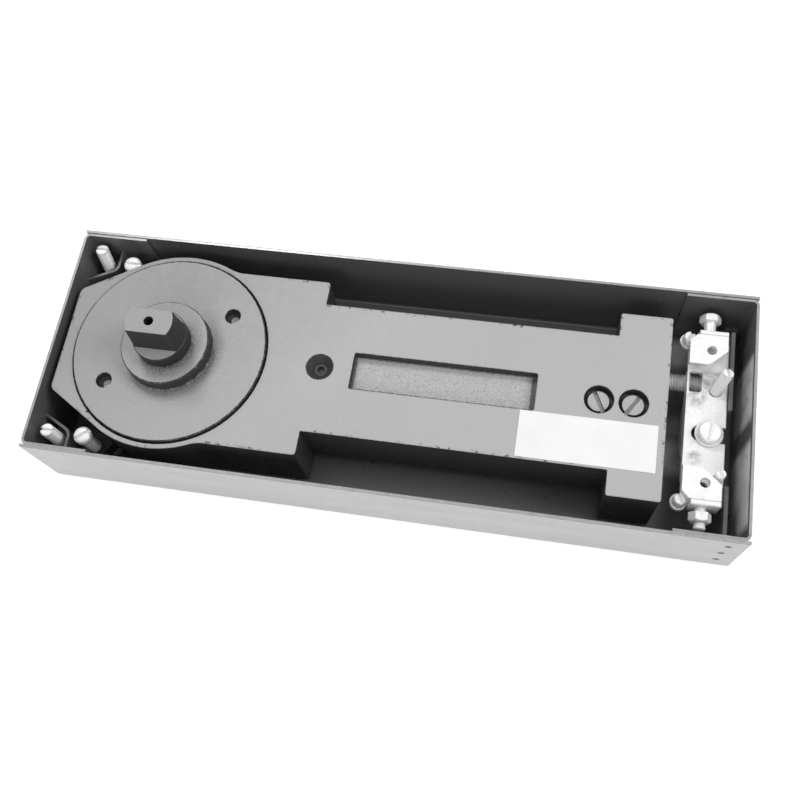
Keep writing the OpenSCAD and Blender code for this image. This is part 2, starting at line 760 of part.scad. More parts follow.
// Plug that closes the bore, takes the valve needles and has a hexagon socket
module end_plug() {
    color("dimgray") difference() {
        translate([plug_x, 0, drive_z]) rotate([0, 90, 0]) difference() {
            cylinder(r = bore_r - fit, h = plug_l);
            translate([0, 0, plug_l - 5]) cylinder(r = 4.7, h = 6, $fn = 6);
            translate([0, 0, -1]) cylinder(r = 1.5, h = valve_pitch + 5.5);
            translate([0, 0, plug_l - 9]) difference() {
                cylinder(r = bore_r + 1, h = 2.2);
                cylinder(r = bore_r - 2, h = 2.2);
            }
        }
        for (x = [speed_x, latch_x]) translate([x, 0, drive_z - 2]) cylinder(r = needle_r + 0.1, h = rim);
    }
}

module plug_seal() {
    color("black") translate([plug_x + plug_l - 8.9, 0, drive_z]) rotate([0, 90, 0])
        ring(bore_r - fit, bore_r - 1.95, 2);
}

// ---- Tail adjuster ----

// Plate with a side slot for the clamp screw, a window and a turned-down flange
module adjust_plate() {
    slot_hw = clamp_r + side_travel + 2 * fit;
    color(zinc) difference() {
        union() {
            translate([0, 0, adjust_top - plate_t]) linear_extrude(plate_t) {
                translate([plate_x0, -lug_y1]) square([plate_x1 - plate_x0, 2 * lug_y1]);
                for (s = [-1, 1]) translate([level_x, s * level_y]) circle(ear_r);
            }
            plate_flange();
        }
        translate([0, 0, adjust_top - plate_t - 1]) linear_extrude(plate_t + 2) {
            translate([clamp_x - 3.5, clamp_y]) circle(slot_hw);
            translate([clamp_x - 3.5, clamp_y - slot_hw]) square([20, 2 * slot_hw]);
            round_rect(plate_x0 + 0.6, end_y - 7.5, plate_x0 + 6.2, end_y + 2, 1.2);
        }
        for (s = [-1, 1]) translate([level_x, s * level_y, 0]) cylinder(r = clamp_r + fit, h = rim);
        for (s = [-1, 1]) translate([hole_x, s * cover_hole_y, 0]) cylinder(r = tap_r + 0.5, h = rim);
        tail_far_place() translate([0, 0, -rim]) cylinder(r = clamp_r + fit, h = 2 * rim);
        translate([tail_near_x, tail_near_y, 0]) cylinder(r = tap_r + fit, h = rim);
    }
}

// Left flange, deepest near the clamp screw
module plate_flange() {
    t = 1.6;
    translate([plate_x0 + t - 0.01, 0, 0]) rotate([90, 0, -90]) linear_extrude(t)
        polygon([[-lug_y1 + 13, adjust_top], [-lug_y1 + 13, adjust_top - 4], [-12, adjust_top - 7],
            [-4, adjust_top - 13], [4, adjust_top - 15], [8, adjust_top - 15], [16, adjust_top - 5],
            [27, adjust_top - 4], [27, adjust_top]]);
}

tail_near_x = plate_x1 - 2.8;
tail_near_y = -lug_y0 - 2.6;

// Axis of the leaning far tail screw, its slotted end at z = 0
module tail_far_place() {
    translate([plate_x1 - 2, end_y - 1.8, rim - 2.5]) rotate([-tail_lean * 0.82, tail_lean * 0.55, 0]) children();
}

module tail_screw_far() {
    color(zinc) tail_far_place() rotate(100) slotted_stud(clamp_r, 14.6);
}

module tail_screw_near() {
    color(zinc) translate([tail_near_x, tail_near_y, lug_top + 1.8]) rotate(115)
        slotted_stud(tap_r, lug_top - adjust_top + 6);
}

// Far lug: cover screw hole on top, an upright flange along its outer edge for the side bolt
module lug() {
    corner = 3;
    groove = 0.35;                        // line between the top and the flange
    color(zinc) difference() {
        union() {
            translate([0, 0, lug_top - plate_t]) linear_extrude(plate_t)
                polygon([[adj_x0, lug_y0], [lug_x1 - 7.7, lug_y0], [lug_x1, lug_y0 + 6.8],
                    [lug_x1, lug_y1 + cut], [adj_x0 + corner, lug_y1 + cut], [adj_x0, lug_y1 - corner]]);
            translate([flange_x0, 0, 0]) rotate([90, 0, 90]) linear_extrude(lug_x1 - flange_x0) {
                translate([lug_y1, adjust_top - plate_t]) square([plate_t, lug_top - adjust_top + plate_t - 1]);
                translate([lug_y1, lug_top - 2]) square([plate_t - 1, 2]);
                translate([flange_y1 - 1, lug_top - 1]) circle(1);
            }
        }
        translate([0, lug_y1, lug_top - groove]) cube([box_l, groove, 1]);
        translate([hole_x, cover_hole_y, 0]) cylinder(r = tap_r, h = rim);
        translate([side_x, 0, side_z]) rotate([-90, 0, 0]) cylinder(r = side_r + fit, h = box_w);
    }
}

module lug_far() { lug(); }

module lug_near() { mirror([0, 1, 0]) lug(); }

// Far side bolt: hexagon head outside the lug's flange
module side_bolt_far() {
    seat = 5.4;
    color(zinc) translate([side_x, flange_y1 + seat, side_z]) rotate([-90, 0, 0]) {
        hex_head(8, 3.5);
        translate([0, 0, -seat - plate_t - 2.6]) cylinder(r = side_r, h = seat + plate_t + 2.61);
    }
}

// Near side bolt: screwed out through the lug's flange, with a nut outside
module side_bolt_near() {
    color(zinc) translate([side_x, -flange_y1 - 9.2, side_z]) rotate([90, 0, 0])
        plain_stud(side_r, 9.2 + plate_t + 2.6);
}

// Threaded rod with chamfered ends, from z = 0 down to -l
module plain_stud(r, l) {
    rotate_extrude() polygon([[0, 0], [r - 0.8, 0], [r, -0.8], [r, 0.8 - l], [r - 0.8, -l], [0, -l]]);
}

module side_nut() {
    color(zinc) translate([side_x, -flange_y1 - 2.2, side_z]) rotate([90, 0, 0]) difference() {
        hex_head(8, 4);
        translate([0, 0, -1]) cylinder(r = side_r + fit, h = 8);
    }
}

end_x1 = plate_x0 + 15;

module end_screw() {
    color(zinc) translate([end_x1, end_y, end_z]) rotate([0, 90, 0]) slotted_stud(end_r, end_x1 - tail_x + 6);
}

// Square nut welded under the plate
module end_nut() {
    nut_l = 6.4;
    color(zinc) difference() {
        translate([end_x1 - nut_l - 1.6, end_y - 6.5, end_z - 6.5])
            cube([nut_l, 13, adjust_top - plate_t - end_z + 6.5]);
        translate([tail_x, end_y, end_z]) rotate([0, 90, 0]) cylinder(r = end_r + fit, h = 40);
    }
}

// Short grub screw: it ends just under the plate, clear of the box floor
module tail_level_screw() {
    slotted_stud(clamp_r, 5 + plate_t + 2);
}

module tail_level_far() {
    color(zinc) translate([level_x, level_y, adjust_top + 5]) rotate(65) tail_level_screw();
}

module tail_level_near() {
    color(zinc) translate([level_x, -level_y, adjust_top + 5]) rotate(115) tail_level_screw();
}

box_channel();
box_end_left();
box_end_right();
corner_clip_far();
corner_clip_near();
corner_screw_far();
corner_screw_near();
cross_bracket();
clamp_pillar();
clamp_washer();
clamp_screw();
closer_body();
bearing_cover();
cover_seal();
spindle();
heart_cam();
cam_key();
lower_bearing();
upper_bearing();
spindle_seal();
follower_plate_lower();
follower_plate_upper();
roller_pins();
front_roller();
back_roller();
piston();
piston_seal();
yoke_pin();
spring();
end_plug();
plug_seal();
speed_valve();
latch_valve();
valve_seals();
filler_plug();
data_label();
level_screw_far();
level_screw_near();
adjust_plate();
lug_far();
lug_near();
side_bolt_far();
side_bolt_near();
side_nut();
end_screw();
end_nut();
tail_screw_far();
tail_screw_near();
tail_level_far();
tail_level_near();
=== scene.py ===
import json
import math
import bpy
import bmesh
from mathutils import Vector, Matrix


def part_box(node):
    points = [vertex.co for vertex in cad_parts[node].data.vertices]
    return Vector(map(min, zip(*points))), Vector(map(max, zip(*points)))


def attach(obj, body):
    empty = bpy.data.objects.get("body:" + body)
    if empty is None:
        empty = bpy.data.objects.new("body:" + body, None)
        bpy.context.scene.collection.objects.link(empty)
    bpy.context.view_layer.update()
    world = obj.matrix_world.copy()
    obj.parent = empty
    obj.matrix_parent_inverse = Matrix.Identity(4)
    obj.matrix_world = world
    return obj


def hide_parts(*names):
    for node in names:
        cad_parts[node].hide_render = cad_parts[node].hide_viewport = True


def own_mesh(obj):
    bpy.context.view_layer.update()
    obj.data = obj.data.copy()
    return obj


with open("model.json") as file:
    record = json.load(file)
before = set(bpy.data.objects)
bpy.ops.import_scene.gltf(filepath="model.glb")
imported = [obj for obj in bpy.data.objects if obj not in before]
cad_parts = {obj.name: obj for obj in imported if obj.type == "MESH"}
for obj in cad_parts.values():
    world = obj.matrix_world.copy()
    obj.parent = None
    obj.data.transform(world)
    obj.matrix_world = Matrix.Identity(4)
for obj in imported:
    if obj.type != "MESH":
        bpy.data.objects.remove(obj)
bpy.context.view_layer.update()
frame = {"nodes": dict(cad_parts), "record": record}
nodes = frame["nodes"]
behaviour = frame["record"]["behaviour"]

# ---------- places taken from the frame, in metres ----------


def centre(node):
    lo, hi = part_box(node)
    return (lo[0] + hi[0]) / 2, (lo[1] + hi[1]) / 2


# Half length and half width of the box, and the height of its rim
HALF_L, HALF_W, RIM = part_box("box_channel")[1]
CAST_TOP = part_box("closer_body")[1][2]
COVER_TOP = CAST_TOP + 0.0015
POCKET_FLOOR = CAST_TOP - 0.0045

# Edges brightened by worn paint and a painted highlight, and chips, start to show at the first of these
# heights, and show fully above the second
WORN_FROM = (CAST_TOP - 0.0025, CAST_TOP - 0.0015)

# The spindle's axis, which is the middle of the cover
cover_lo, cover_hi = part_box("bearing_cover")
ax, ay = centre("bearing_cover")

# Machined rounds of the casting: the seat of the cover, the valve wells and the filler bowl: (x, y, radius)
MACHINED = [(ax, ay, (cover_hi[0] - cover_lo[0]) / 2 + 0.0016)]
MACHINED += [centre(n) + (0.0098,) for n in ("speed_valve", "latch_valve", "filler_plug")]

# The pocket in the casting's top: tone of its floor, centre, half length and half width
POCKET = (0.49, ax + 0.123, ay, 0.040, 0.0086)

# A dent in the casting's top, painted as a dark spot of shade: (x, y, radius)
DENT_SHADES = [(-0.1283, -0.0333, 0.0008)]

# The two spanner holes of the cover, 31.6 mm from the spindle: (x, y, radius of the painted highlight on the
# bottom)
DRILLED = [(ax + 0.0316 * math.cos(math.radians(a)), ay + 0.0316 * math.sin(math.radians(a)), 0.0015)
           for a in (36.3, 216.3)]
# Within this radius the inside of a spanner hole is painted dark, as shade
HOLE_R = 0.0037

# Painted shadow round the cover's boss and round the spindle: (x, y, radius, width, lowest z)
BOSS_SHADOWS = [(ax, ay, 0.0198, 0.0065, COVER_TOP - 0.0025), (ax, ay, 0.0121, 0.006, COVER_TOP + 0.0010)]

# A level face of a valve below this height is inside its slot
VALVE_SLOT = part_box("speed_valve")[1][2] - 0.0003

# Marks of the spot welds that hold the end plate's tabs to the long walls: (x, z)
bracket_lo, bracket_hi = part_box("cross_bracket")
WELDS = [(bracket_hi[0] - back, z) for back, z in ((0.0038, 0.0346), (0.0041, 0.0232), (0.0038, 0.0119))]

# Painted reflections: pale patches on the floor under the tail, (x, y, radius), and on the tail's end wall,
# (from y, to y)
FLOOR_GLINTS = [(bracket_lo[0] - 0.0179, 0.0425, 0.0040), (bracket_lo[0] - 0.0154, -0.0085, 0.0050)]
WALL_REFLECTIONS = ((-0.046, -0.010), (0.0, 0.028))

# Darker places of the adjusting plate, at the foot of the leaning screw and beside its window: (x, y, radius)
stud_x, stud_y = centre("tail_screw_far")
DARK_PATCHES = [(stud_x - 0.0030, stud_y + 0.0030, 0.0036), (stud_x - 0.0090, stud_y - 0.0060, 0.0026),
          (stud_x - 0.0085, stud_y - 0.0330, 0.0020)]

# ---------- materials ----------


def grey(c):
    return (c, c, c, 1)


class Mat:
    """A procedural material whose colour, roughness and relief come from object-space nodes."""

    def __init__(self, name, metallic=0.0, specular=0.5):
        self.m = bpy.data.materials.new(name)
        self.m.use_nodes = True
        self.t = self.m.node_tree
        self.n = self.t.nodes
        self.p = self.n["Principled BSDF"]
        self.p.inputs["Metallic"].default_value = metallic
        self.p.inputs["Specular IOR Level"].default_value = specular
        self.tc = self.n.new("ShaderNodeTexCoord")
        self.normal = None

    def link(self, a, b):
        self.t.links.new(a, b)

    def noise(self, scale, detail=4.0, rough=0.6, stretch=None):
        t = self.n.new("ShaderNodeTexNoise")
        t.inputs["Scale"].default_value = scale
        t.inputs["Detail"].default_value = detail
        t.inputs["Roughness"].default_value = rough
        where = self.tc.outputs["Object"]
        if stretch:
            mp = self.n.new("ShaderNodeMapping")
            mp.inputs["Scale"].default_value = stretch
            self.link(where, mp.inputs["Vector"])
            where = mp.outputs["Vector"]
        self.link(where, t.inputs["Vector"])
        return t.outputs["Fac"]

    def voronoi(self, scale):
        t = self.n.new("ShaderNodeTexVoronoi")
        t.inputs["Scale"].default_value = scale
        self.link(self.tc.outputs["Object"], t.inputs["Vector"])
        return t.outputs["Distance"]

    def axis(self, which, source="Object"):
        r = self.n.new("ShaderNodeSeparateXYZ")
        self.link(self.tc.outputs[source], r.inputs[0])
        return r.outputs[which]

    def ramp(self, fac, stops):
        """A grey that follows the (position, tone) stops."""
        r = self.n.new("ShaderNodeValToRGB")
        elements = r.color_ramp.elements
        (first, tone_0), *middle, (last, tone_1) = stops
        elements[0].position, elements[1].position = first, last
        elements[0].color, elements[1].color = grey(tone_0), grey(tone_1)
        for pos, tone in middle:
            elements.new(pos).color = grey(tone)
        self.link(fac, r.inputs["Fac"])
        return r.outputs["Color"]

    def span(self, value, lo, hi, a=0.0, b=1.0):
        """a where value is at lo and b where it is at hi, straight between them and level outside."""
        r = self.n.new("ShaderNodeMapRange")
        r.inputs["From Min"].default_value = lo
        r.inputs["From Max"].default_value = hi
        r.inputs["To Min"].default_value = a
        r.inputs["To Max"].default_value = b
        self.link(value, r.inputs["Value"])
        return r.outputs["Result"]

    def spread(self, noise, a, b):
        """From a to b over the middle of a noise's range."""
        return self.span(noise, 0.3, 0.7, a, b)

    def facing_up(self, lo=0.7):
        """1 on faces that look up, and 0 where the normal's z is under lo."""
        return self.span(self.axis("Z", "Normal"), lo, 0.9)

    def calc(self, op, a, b=None):
        r = self.n.new("ShaderNodeMath")
        r.operation = op
        for i, v in enumerate((a, b)):
            if isinstance(v, (int, float)):
                r.inputs[i].default_value = v
            elif v is not None:
                self.link(v, r.inputs[i])
        return r.outputs[0]

    def fold(self, op, values):
        """The same operation over all the values, one after the other."""
        total, *others = values
        for v in others:
            total = self.calc(op, total, v)
        return total

    def times(self, *values):
        return self.fold("MULTIPLY", values)

    def most(self, *values):
        return self.fold("MAXIMUM", values)

    def plus(self, *values):
        return self.fold("ADD", values)

    def minus(self, a, b):
        return self.calc("SUBTRACT", a, b)

    def mix(self, fac, a, b, mode="MIX"):
        """Colour a where fac is 0 and b where it is 1. A number stands for a grey."""
        r = self.n.new("ShaderNodeMix")
        r.data_type = "RGBA"
        r.blend_type = mode
        for key, kind, v in (("Factor", "VALUE", fac), ("A", "RGBA", a), ("B", "RGBA", b)):
            s = [i for i in r.inputs if i.name == key and i.type == kind][0]
            if isinstance(v, (int, float)):
                s.default_value = v if kind == "VALUE" else grey(v)
            else:
                self.link(v, s)
        return [o for o in r.outputs if o.type == "RGBA"][0]

    def tint(self, a, b):
        """The two colours multiplied."""
        return self.mix(1.0, a, b, "MULTIPLY")

    def blend_value(self, fac, a, b):
        """Number a where fac is 0 and b where it is 1."""
        return self.plus(self.times(self.minus(1.0, fac), a), self.times(fac, b))

    def near(self, point, radius, soft):
        """1 within radius of a point and 0 beyond radius + soft. A None coordinate isn't looked at."""
        squares = []
        for which, c in zip("XYZ", point):
            if c is not None:
                d = self.minus(self.axis(which), c)
                squares.append(self.times(d, d))
        return self.span(self.calc("SQRT", self.plus(*squares)), radius + soft, radius)

    def bevel(self, radius):
        """The rounded normal, and how well the true one agrees with it: 1 on flats, less along edges."""
        b = self.n.new("ShaderNodeBevel")
        b.samples = 6
        b.inputs["Radius"].default_value = radius
        g = self.n.new("ShaderNodeNewGeometry")
        d = self.n.new("ShaderNodeVectorMath")
        d.operation = "DOT_PRODUCT"
        self.link(b.outputs["Normal"], d.inputs[0])
        self.link(g.outputs["True Normal"], d.inputs[1])
        return b.outputs["Normal"], d.outputs["Value"]

    def round_edges(self, radius, low):
        """Rounds the look of the edges and gives a mask that is 1 along them."""
        self.normal, agreement = self.bevel(radius)
        self.link(self.normal, self.p.inputs["Normal"])
        return self.span(agreement, 0.985, low)

    def edge_band(self, radius, low):
        """Mask of a wider band along the edges, for chips. The shading isn't touched."""
        return self.span(self.bevel(radius)[1], 0.998, low)

    def colour(self, c):
        self.link(c, self.p.inputs["Base Color"])

    def rough(self, r):
        self.link(r, self.p.inputs["Roughness"])

    def bump(self, height, strength, distance):
        """Relief, on top of the rounded edges and of any relief before it."""
        b = self.n.new("ShaderNodeBump")
        b.inputs["Strength"].default_value = strength
        b.inputs["Distance"].default_value = distance
        self.link(height, b.inputs["Height"])
        if self.normal:
            self.link(self.normal, b.inputs["Normal"])
        self.normal = b.outputs["Normal"]
        self.link(self.normal, self.p.inputs["Normal"])


def from_middle(m, pocket):
    """Place along and across the pocket, counted from its middle."""
    _, px, py, _, _ = pocket
    return m.minus(m.axis("X"), px), m.minus(m.axis("Y"), py)


def pocket_floor(m, face, side, pocket):
    """Sand-rough floor of the pocket, with painted shade along the foot of its walls."""
    tone, _, _, half_l, half_w = pocket
    z = m.axis("Z")
    deep = m.times(m.span(z, POCKET_FLOOR + 0.0007, POCKET_FLOOR + 0.0003),
                   m.span(z, POCKET_FLOOR - 0.0005, POCKET_FLOOR - 0.0001))
    sand = m.ramp(m.noise(1700, 5, 0.8), [(0.36, 0.35), (0.44, 0.9), (0.62, 1.05), (0.70, 1.25)])
    face = m.mix(deep, face, m.tint(sand, tone))
    along, across = from_middle(m, pocket)
    # Painted shade along the foot of the pocket's walls
    ragged = m.spread(m.noise(600, 3, 0.6), -0.0002, 0.0002)
    strips = []
    for place, wall, width in ((along, half_l, 0.0024), (along, -half_l, -0.0012),
                               (across, half_w, 0.0008), (across, -half_w, -0.0022)):
        inner = wall - width
        strips.append(m.span(m.plus(place, ragged), inner, inner + math.copysign(0.0003, width)))
    return m.mix(m.times(deep, m.most(*strips), 0.8), face, side)


def chips(m, up, high, pocket, whole):
    """Mask of chipped paint along the top's outline, away from the pocket and the machined rounds."""
    _, _, _, half_l, half_w = pocket
    along, across = from_middle(m, pocket)
    past = m.most(m.minus(m.calc("ABSOLUTE", along), half_l), m.minus(m.calc("ABSOLUTE", across), half_w))
    mask = m.times(m.edge_band(0.0022, 0.985), m.span(m.noise(430, 4, 0.7), 0.55, 0.58),
                   m.span(m.noise(60, 2, 0.5), 0.42, 0.50), up, high, m.span(past, 0.0030, 0.0034))
    for wx, wy, wr in whole:
        mask = m.times(mask, m.minus(1.0, m.near((wx, wy, None), wr, 0.0002)))
    return mask


def painted_shadow_ring(m, ring):
    """Mask of painted shadow round a raised part, speckled, thickest on the near right."""
    rx, ry, radius, width, lowest = ring
    dx, dy = m.minus(m.axis("X"), rx), m.minus(m.axis("Y"), ry)
    far = m.calc("SQRT", m.plus(m.times(dx, dx), m.times(dy, dy)))
    lean = m.calc("DIVIDE", m.minus(m.times(dx, 0.75), m.times(dy, 0.66)), far)
    shadow_speckle = m.span(m.noise(1300, 4, 0.8), 0.42, 0.56)
    return m.times(m.span(far, radius + width, radius), m.span(lean, -0.25, 0.75),
                   m.span(m.axis("Z"), lowest - 0.0002, lowest), m.span(far, radius - 0.0003, radius),
                   m.plus(m.times(shadow_speckle, 0.6), 0.4))


def casting_paint(name, top, side, low, fade, shadow_rings=(), dent_shades=(), drilled=(), pocket=None, whole=()):
    """Satin grey paint over cast iron, with painted light: tone top on the level top as a painted sheen, the
    near black tone side down the sides and below low as painted shade, and edges brightened by worn paint and
    a painted highlight.

    fade is (x - y where the darkening is full, x - y where it starts, factor): painted shade, darker towards
    one end. The rings of painted shadow round raised parts are (x, y, radius, width, lowest z); the dent
    spots of painted shade are (x, y, radius); drilled gives (x, y, radius) hole bottoms with a painted
    highlight, the holes' insides in painted shade. With a pocket the outline is chipped too, but for the (x,
    y, radius) rounds in whole."""
    m = Mat(name, specular=0.3)
    edge = m.round_edges(0.0011, 0.92)
    up = m.facing_up(0.72)
    z = m.axis("Z")
    grain = m.ramp(m.noise(2100, 4, 0.65), [(0.30, 0.84), (0.5, 1.0), (0.70, 1.12)])
    fine = m.ramp(m.noise(5200, 2, 0.5), [(0.30, 0.92), (0.70, 1.07)])
    pits = m.ramp(m.voronoi(620), [(0.05, 0.62), (0.17, 1.0)])
    pit_place = m.span(m.noise(95, 3, 0.6), 0.56, 0.62)
    patch = m.ramp(m.noise(14, 3, 0.5), [(0.3, 0.97), (0.7, 1.03)])
    # Painted light: level faces get tone top as a painted sheen; upright faces and faces below low get the
    # near black side as painted shade
    face = m.mix(m.span(z, *low), side, top)
    if pocket:
        face = pocket_floor(m, face, side, pocket)
    c = m.tint(m.tint(m.mix(up, side, face), grain), fine)
    c = m.tint(m.mix(pit_place, c, m.tint(c, pits)), patch)
    # Painted shade: the colour darkens towards low x - y, down to the factor
    full, start, factor = fade
    c = m.mix(m.span(m.minus(m.axis("X"), m.axis("Y")), start, full), c, m.tint(c, factor))
    # Painted shadow round the boss and the spindle
    for ring in shadow_rings:
        c = m.mix(painted_shadow_ring(m, ring), c, side)
    # Painted shade in a dent
    for dx, dy, dr in dent_shades:
        c = m.mix(m.near((dx, dy, None), dr, dr * 0.5), c, side)
    # Spanner holes: painted shade inside, and a painted highlight on the bottom
    for dx, dy, dr in drilled:
        in_hole = m.span(z, COVER_TOP - 0.0030, COVER_TOP - 0.0032)
        c = m.mix(m.times(m.near((dx, dy, None), HOLE_R, 0.0001), in_hole), c, side)
        at_bottom = m.span(z, COVER_TOP - 0.0043, COVER_TOP - 0.0045)
        c = m.mix(m.times(m.near((dx, dy, None), dr, 0.0006), at_bottom), c, m.tint(0.95, grain))
    high = m.span(z, *WORN_FROM)
    # Edges lighter: worn paint and a painted highlight
    bright = m.times(edge, high, m.span(m.noise(430, 5, 0.8), 0.50, 0.56))
    c = m.mix(m.times(bright, 0.65), c, top * 1.4)
    if pocket:
        c = m.mix(chips(m, up, high, pocket, whole), c, side)
    m.colour(c)
    m.rough(m.spread(m.noise(300, 4), 0.42, 0.62))
    m.bump(m.noise(1500, 5, 0.75), 0.35, 0.00016)
    m.bump(m.noise(170, 3, 0.5), 0.15, 0.0002)
    return m.m


def steel(name, top, side, rough=0.35, metallic=0.8, wear_and_highlight=0.5, slot=None):
    """Steel in painted light: tone top on level faces as a painted sheen, tone side on upright faces as
    painted shade, and painted shade below the height slot.
    """
    m = Mat(name, metallic=metallic, specular=0.3)
    edge = m.round_edges(0.0005, 0.9)
    up = m.facing_up()
    cloud = m.ramp(m.noise(1500, 3, 0.6), [(0.35, 0.9), (0.65, 1.06)])
    # Painted shade on the floor of the slot
    if slot:
        up = m.times(up, m.span(m.axis("Z"), slot - 0.0003, slot, 0.72, 1.0))
    c = m.tint(m.mix(up, side, top), cloud)
    # Edges lighter: worn metal and a painted highlight
    m.colour(m.mix(m.times(edge, wear_and_highlight), c, min(0.8, top * 1.3)))
    m.rough(m.spread(m.noise(500, 4), rough - 0.07, rough + 0.1))
    m.bump(m.noise(1500, 4, 0.6), 0.15, 0.0001)
    return m.m


def zinc_plate(name, dull=0.66, bright=0.92, metallic=0.25, dark_patches=()):
    """Bright zinc: cloudy crystal patches, edges lightened as a painted highlight, and darker patches round
    the given (x, y, radius) places.
    """
    m = Mat(name, metallic=metallic)
    edge = m.round_edges(0.0006, 0.9)
    cloud = m.ramp(m.noise(150, 6, 0.7), [(0.30, dull), (0.42, bright * 0.93), (0.66, bright)])
    flake = m.ramp(m.voronoi(600), [(0.0, 0.97), (0.6, 1.02)])
    c = m.tint(cloud, flake)
    # Darker patches at the given places
    for sx, sy, sr in dark_patches:
        darkening = m.times(m.near((sx, sy, None), sr, sr), m.span(m.noise(320, 5, 0.75), 0.38, 0.62))
        c = m.mix(m.times(darkening, 0.80), c, 0.25)
    # Painted highlight along the edges
    m.colour(m.mix(m.times(edge, 0.5), c, 0.93))
    m.rough(m.spread(m.noise(380, 5, 0.65), 0.24, 0.46))
    m.bump(m.noise(900, 3, 0.55), 0.12, 0.00012)
    m.bump(m.noise(130, 2, 0.5), 0.2, 0.0003)
    return m.m


def painted_reflections(m, out):
    """Mask of painted reflections inside the box: two patches on the tail's end wall, and glints on the
    floor.
    """
    x, y, z = m.axis("X"), m.axis("Y"), m.axis("Z")
    bands = [m.times(m.span(y, y0 - 0.002, y0 + 0.002), m.span(y, y1 + 0.002, y1 - 0.002))
             for y0, y1 in WALL_REFLECTIONS]
    on_wall = m.times(m.minus(1.0, out), m.span(x, HALF_L - 0.0020, HALF_L - 0.0014))
    mask = m.times(m.plus(*bands), on_wall, m.span(z, 0.004, 0.012), m.span(z, RIM - 0.0015, RIM - 0.0035))
    for sx, sy, sr in FLOOR_GLINTS:
        glint = m.times(m.near((sx, sy, bracket_lo[2]), sr, sr * 1.1), m.facing_up())
        mask = m.most(mask, m.times(glint, 0.62))
    return m.times(mask, m.span(m.noise(90, 4, 0.6), 0.25, 0.6, 0.65, 1.0))


def sheet_paint(name, outside, inside, rim):
    """Folded sheet: glossy black inside, light outside, bare cut edges, weld marks near the tail."""
    m = Mat(name, metallic=0.15, specular=0.6)
    x, y, z = m.axis("X"), m.axis("Y"), m.axis("Z")
    out_y = m.span(m.calc("ABSOLUTE", y), HALF_W - 0.0005, HALF_W - 0.0002)
    out_x = m.span(m.calc("ABSOLUTE", x), HALF_L - 0.0006, HALF_L - 0.0002)
    under = m.span(z, 0.0004, 0.0002)
    out = m.most(out_y, out_x, under)
    streak = m.ramp(m.noise(60, 5, 0.6, (0.25, 1, 2.2)), [(0.3, 0.93), (0.7, 1.04)])
    c = m.mix(out, inside, m.tint(streak, outside))
    # Cut edges: dull on the bracket and the corner clips, light along the rim
    nick = m.ramp(m.noise(300, 4, 0.7), [(0.35, 0.8), (0.6, 1.0)])
    cut_edge = m.mix(m.span(z, 0.033, 0.040), rim * 0.35, m.tint(nick, rim))
    c = m.mix(m.times(m.facing_up(), m.span(z, 0.0278, 0.0281)), c, cut_edge)
    # The dark line under the rim: a painted shadow under its lip
    line = m.times(m.span(z, RIM - 0.0010, RIM - 0.0008), m.span(z, RIM - 0.00015, RIM - 0.0003))
    c = m.mix(m.times(out_y, line), c, 0.10)
    spots = m.times(m.most(*[m.near((wx, None, wz), 0.0011, 0.0006) for wx, wz in WELDS]), out_y)
    c = m.mix(spots, c, 0.05)
    # Painted reflections: pale patches on the tail's end wall and on the floor
    m.colour(m.mix(painted_reflections(m, out), c, 0.9))
    gloss = m.spread(m.noise(80, 5), 0.27, 0.30)
    matt = m.spread(m.noise(200, 5), 0.42, 0.55)
    m.rough(m.blend_value(out, gloss, matt))
    m.bump(m.noise(900, 4, 0.6), 0.05, 0.0001)
    m.bump(m.times(spots, -1.0), 0.8, 0.0004)
    return m.m


def rubber(name):
    m = Mat(name, specular=0.3)
    m.colour(m.ramp(m.noise(900, 3), [(0.3, 0.012), (0.7, 0.03)]))
    m.rough(m.spread(m.noise(500, 3), 0.55, 0.75))
    return m.m


def sticker(name):
    m = Mat(name, specular=0.4)
    m.colour(m.ramp(m.noise(70, 4), [(0.3, 0.83), (0.7, 0.88)]))
    m.rough(m.spread(m.noise(300, 3), 0.38, 0.5))
    m.bump(m.noise(250, 4, 0.6), 0.12, 0.0001)
    return m.m


# For the casting paints and the steels the first tone is the level top, lit as a painted sheen, and the
# second the upright sides, in painted shade
MATS = {
    "casting": casting_paint("cast_paint", 0.44, 0.045, (CAST_TOP - 0.0006, CAST_TOP - 0.0002),
                             fade=(-0.16, -0.03, 0.74), dent_shades=DENT_SHADES, pocket=POCKET, whole=MACHINED),
    "cover": casting_paint("cover_paint", 0.405, 0.040, (COVER_TOP - 0.0055, COVER_TOP - 0.0035),
                           fade=(-0.15, -0.05, 0.80), shadow_rings=BOSS_SHADOWS, drilled=DRILLED),
    "spindle_steel": steel("spindle_steel", 0.36, 0.026, 0.6, metallic=0.0, wear_and_highlight=0.12),
    "dark_plug": steel("dark_plug", 0.05, 0.02, 0.5, metallic=0.2, wear_and_highlight=0.2),
    "valve_metal": steel("valve_metal", 0.43, 0.035, 0.4, metallic=0.3, slot=VALVE_SLOT),
    "steel": steel("bright_steel", 0.55, 0.5, 0.3),
    "spring_steel": steel("spring_steel", 0.18, 0.18, 0.35),
    "zinc": zinc_plate("zinc_plate"),
    "zinc_darkened": zinc_plate("zinc_darkened", dark_patches=DARK_PATCHES),
    "zinc_screw": zinc_plate("zinc_screw", 0.80, 0.95, 0.12),
    "box_sheet": sheet_paint("box_sheet", 0.56, 0.145, 0.36),
    "rubber": rubber("rubber"),
    "label": sticker("label_face"),
}

# Nodes whose look differs from the rest of their slot
OWN_LOOK = {"bearing_cover": "cover", "filler_plug": "dark_plug", "adjust_plate": "zinc_darkened"}

slot_of = {s["node"]: s["material_slot"] for s in frame["record"]["subparts"]}
for name, o in nodes.items():
    o.data.materials.clear()
    o.data.materials.append(MATS[OWN_LOOK.get(name, slot_of[name])])

# ---------- helpers for new pieces ----------


